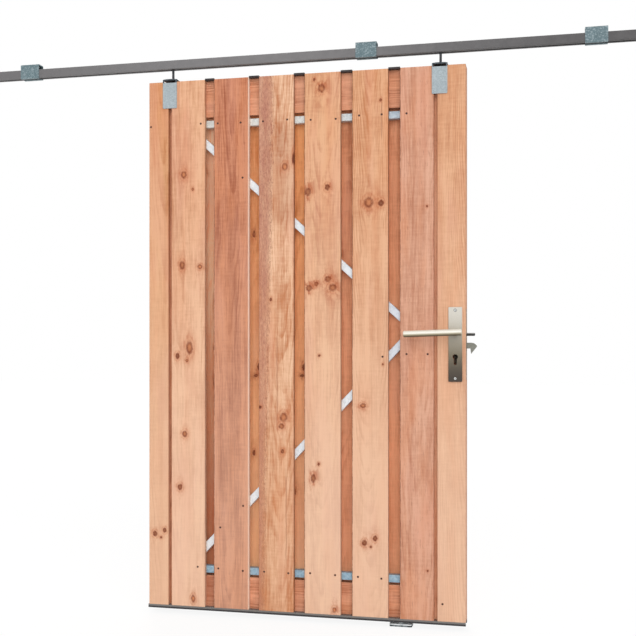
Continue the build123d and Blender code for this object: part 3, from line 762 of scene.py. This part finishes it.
# Nodes that are not of wood, by the name of their material
OTHER_NODES = {
    "track": ("track",),
    "sleeve": ("left_track_bracket", "middle_track_bracket", "right_track_bracket",
               "end_track_bracket"),
    "guide": ("floor_guide",),
    "strap": ("strap_brackets",),
    "tube": ("frame_rails", "frame_stiles"),
    "brace": ("upper_brace", "lower_brace"),
    "channel": ("bottom_channel",),
    "cap": ("top_cap",),
    "trolley": ("trolleys",),
    "rod": ("hanger_rods",),
    "lock": ("lock_case", "hook_bolt", "spindle"),
    "plate": ("front_handle_plate", "rear_handle_plate"),
    "lever": ("front_lever", "rear_lever"),
    "pin": ("buffer_pin",),
    "roller": ("guide_roller", "trolley_wheels"),
    "rubber": ("track_stops",),
}


def dress_other_nodes(materials):
    for key, names in OTHER_NODES.items():
        for name in names:
            dress(name, materials[key])


# Small pieces, each made as one joined mesh
def disc(mesh, centre, radius, thickness, direction, sides=16):
    """Adds a short cylinder whose far end lies at the centre, facing a direction."""
    turn = Vector(direction).to_track_quat("Z", "Y").to_matrix().to_4x4()
    place = Matrix.Translation(Vector(centre) - Vector(direction) * thickness / 2) @ turn
    bmesh.ops.create_cone(
        mesh, cap_ends=True, segments=sides, radius1=radius, radius2=radius,
        depth=thickness, matrix=place,
    )


def finish_piece(name, mesh, material, body):
    data = bpy.data.meshes.new(name)
    mesh.to_mesh(data)
    mesh.free()
    data.materials.append(material)
    piece = bpy.data.objects.new(name, data)
    bpy.context.collection.objects.link(piece)
    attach(piece, body)


# Heads of the screws seen in the boards, (x, z) in mm
FRONT_SCREWS = (
    (-751, -249), (-570, -246), (-509, -248), (-428, -249), (-349, -249), (-265, -247),
    (-184, -252), (-99, -253), (-20, -246), (55, -246), (137, -247), (-581, -1761),
    (-507, -1763), (-420, -1767), (-345, -1766), (-261, -1767), (-186, -1763), (-101, -1765),
    (-24, -1767), (54, -1769), (254, -1841), (58, -1041), (137, -1032), (206, -1032),
    (-421, -436), (-419, -1547), (-500, -1623),
)
SCREW_RADIUS = 0.0036
SCREW_DEPTH = 0.002
SCREW_PROUD = 0.0002
RECESS_RADIUS = SCREW_RADIUS * 0.45
RECESS_DEPTH = 0.001
# Sides of the discs
HEXAGON = 6
ROUND = 20


def screw_places_behind():
    """Two screws at each tube in every rear board."""
    half_tube = 0.0125
    inset = 0.03
    rails = (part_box("frame_rails")[1].z - half_tube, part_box("frame_rails")[0].z + half_tube)
    places = []
    for n in REAR_LOOKS:
        low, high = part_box(f"rear_board_{n}")
        for x in (low.x + inset, high.x - inset):
            places += [(x, z) for z in rails]
    return places


def add_board_screws(materials):
    sides = (
        ("front_board_screws", FRONT, -1, [(x * MM, z * MM) for x, z in FRONT_SCREWS]),
        ("rear_board_screws", REAR, 1, screw_places_behind()),
    )
    for name, face, sign, places in sides:
        heads = bmesh.new()
        recesses = bmesh.new()
        way = (0, sign, 0)
        for x, z in places:
            head_face = face + sign * SCREW_PROUD
            recess_face = face + sign * 2 * SCREW_PROUD
            disc(heads, (x, head_face, z), SCREW_RADIUS, SCREW_DEPTH, way)
            # painted shade: a dark hexagon for the screw's socket
            disc(recesses, (x, recess_face, z), RECESS_RADIUS, RECESS_DEPTH, way, HEXAGON)
        finish_piece(name, heads, materials["screw"], "gate")
        finish_piece(f"{name}_recess", recesses, materials["recess"], "gate")


def add_plate_screws(materials):
    """Screws with a hexagon socket, each in a dark ring, at both ends of the plates. Socket and
    ring are painted shade.
    """
    spacing = 0.220
    ring_radius, ring_proud = 0.0052, 0.0001
    head_radius, head_proud = 0.0039, 0.0003
    socket_radius, socket_proud = 0.0015, 0.0005
    depth = 0.003
    finely_round = 24
    for side in ("front", "rear"):
        low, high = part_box(f"{side}_handle_plate")
        sign = -1 if side == "front" else 1
        face = low.y if sign < 0 else high.y
        way = (0, sign, 0)
        middle_x = (low.x + high.x) / 2
        middle_z = (low.z + high.z) / 2
        heads = bmesh.new()
        rings = bmesh.new()
        for z in (middle_z - spacing / 2, middle_z + spacing / 2):
            ring_place = (middle_x, face + sign * ring_proud, z)
            head_place = (middle_x, face + sign * head_proud, z)
            socket_place = (middle_x, face + sign * socket_proud, z)
            disc(rings, ring_place, ring_radius, depth, way, finely_round)
            disc(heads, head_place, head_radius, depth, way, finely_round)
            disc(rings, socket_place, socket_radius, RECESS_DEPTH, way, HEXAGON)
        finish_piece(f"{side}_plate_screws", heads, materials["bright"], "gate")
        finish_piece(f"{side}_plate_screw_recess", rings, materials["recess"], "gate")


def hanger_places():
    low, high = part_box("strap_brackets")
    half_strap = 0.025
    return low.x + half_strap, high.x - half_strap


def add_threads(materials):
    """Thread crests on the hanger rods, between the strap and the track."""
    strap_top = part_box("strap_brackets")[1].z
    track_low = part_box("track")[0].z
    pitch = 0.00125
    crest_radius = 0.0042
    gap_above_strap = 0.0035
    gap_below_track = 0.001
    crests = bmesh.new()
    for x in hanger_places():
        z = strap_top + gap_above_strap
        while z < track_low - gap_below_track:
            disc(crests, (x, 0, z + pitch / 4), crest_radius, pitch / 2, (0, 0, 1), ROUND)
            z += pitch
    finish_piece("rod_threads", crests, materials["rod"], "gate")


def add_faceplate_screws(materials):
    low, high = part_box("lock_case")
    inset = 0.012
    radius, depth = 0.0035, 0.001
    heads = bmesh.new()
    for z in (low.z + inset, high.z - inset):
        disc(heads, (high.x + SCREW_PROUD, 0, z), radius, depth, (1, 0, 0), ROUND)
    finish_piece("faceplate_screws", heads, materials["bright"], "gate")


def add_guide_screws(materials):
    low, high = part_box("floor_guide")
    middle = (low.x + high.x) / 2
    spacing = 0.050
    top_rise = 0.0085
    radius, depth = 0.0052, 0.003
    heads = bmesh.new()
    for x in (middle - spacing / 2, middle + spacing / 2):
        disc(heads, (x, 0, FLOOR + top_rise), radius, depth, (0, 0, 1), ROUND)
    finish_piece("floor_guide_screws", heads, materials["bright"], "overhead_track")


def add_bracket_screws(materials):
    """Hexagon heads inside the raised sleeves, just under their top wall."""
    spacing = 0.044
    drop = 0.0045
    radius, depth = 0.0065, 0.004
    heads = bmesh.new()
    for name in ("left", "middle", "right", "end"):
        low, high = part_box(f"{name}_track_bracket")
        middle = (low.x + high.x) / 2
        for x in (middle - spacing / 2, middle + spacing / 2):
            disc(heads, (x, 0, high.z - drop), radius, depth, (0, 0, 1), HEXAGON)
    finish_piece("bracket_screws", heads, materials["bright"], "overhead_track")


def stage_material():
    """White floor that keeps a soft shadow."""
    white = 1.03
    white_share = 0.85
    material, g = new_material("studio_floor")
    seen = g.node("ShaderNodeLightPath").outputs["Is Camera Ray"]
    diffuse = g.node("ShaderNodeBsdfDiffuse", {"Color": screen(246, 246, 246)})
    glow = g.node("ShaderNodeEmission", {"Color": (1, 1, 1, 1), "Strength": white})
    share = g.mul(seen, white_share)
    mixed = g.node("ShaderNodeMixShader", {0: share, 1: diffuse.outputs[0], 2: glow.outputs[0]})
    g.node("ShaderNodeOutputMaterial", {0: mixed.outputs[0]})
    return material


def build_stage():
    floor_size = 40
    bpy.ops.mesh.primitive_plane_add(size=floor_size, location=(0, 0, FLOOR))
    floor = bpy.context.object
    floor.name = "studio_floor"
    floor.data.materials.append(stage_material())


def light_world(level):
    """A white sky that lights the gate at a level of its own."""
    world = bpy.data.worlds.new("studio")
    world.use_nodes = True
    world.node_tree.nodes.clear()
    g = Graph(world.node_tree)
    rays = g.node("ShaderNodeLightPath").outputs
    seen = g.math("MAXIMUM", rays["Is Camera Ray"], rays["Is Transmission Ray"])
    strength = g.add(g.mul(seen, 1.0 - level), level)
    sky = g.node("ShaderNodeBackground", {"Color": (1, 1, 1, 1), "Strength": strength})
    g.node("ShaderNodeOutputWorld", {0: sky.outputs[0]})
    bpy.context.scene.world = world


def add_sun(name, direction, energy, softness):
    """A sun that shines from a direction, with its softness in degrees."""
    data = bpy.data.lights.new(name, "SUN")
    data.energy = energy
    data.angle = math.radians(softness)
    lamp = bpy.data.objects.new(name, data)
    bpy.context.collection.objects.link(lamp)
    lamp.rotation_euler = Vector(direction).to_track_quat("Z", "Y").to_euler()


def add_camera():
    """Camera at the photograph's place, for a frame of 636 by 636 pixels."""
    place = (0.5781, -3.2748, -1.0025)
    turn_left = 12.8
    focal_pixels = 1000
    frame_pixels = 636
    horizon_drop = 27
    data = bpy.data.cameras.new("camera")
    data.sensor_width = 36
    data.lens = data.sensor_width * focal_pixels / frame_pixels
    data.shift_y = horizon_drop / frame_pixels
    data.clip_end = 100
    camera = bpy.data.objects.new("camera", data)
    camera.location = place
    camera.rotation_euler = (math.pi / 2, 0, math.radians(turn_left))
    bpy.context.collection.objects.link(camera)
    bpy.context.scene.camera = camera


dress_front_boards()
dress_rear_boards()
dress_inner_wood()
materials = {**galvanised_metals(), **dark_metals(), **handle_metals(), **small_materials()}
dress_other_nodes(materials)
add_board_screws(materials)
add_plate_screws(materials)
add_threads(materials)
add_faceplate_screws(materials)
add_guide_screws(materials)
add_bracket_screws(materials)
build_stage()
light_world(level=0.62)
add_sun("key", direction=(0.32, -1.0, 0.45), energy=1.35, softness=60)
add_sun("back_fill", direction=(-0.4, 1.0, 0.5), energy=1.1, softness=30)
add_camera()
bpy.context.scene.view_settings.view_transform = "Standard"
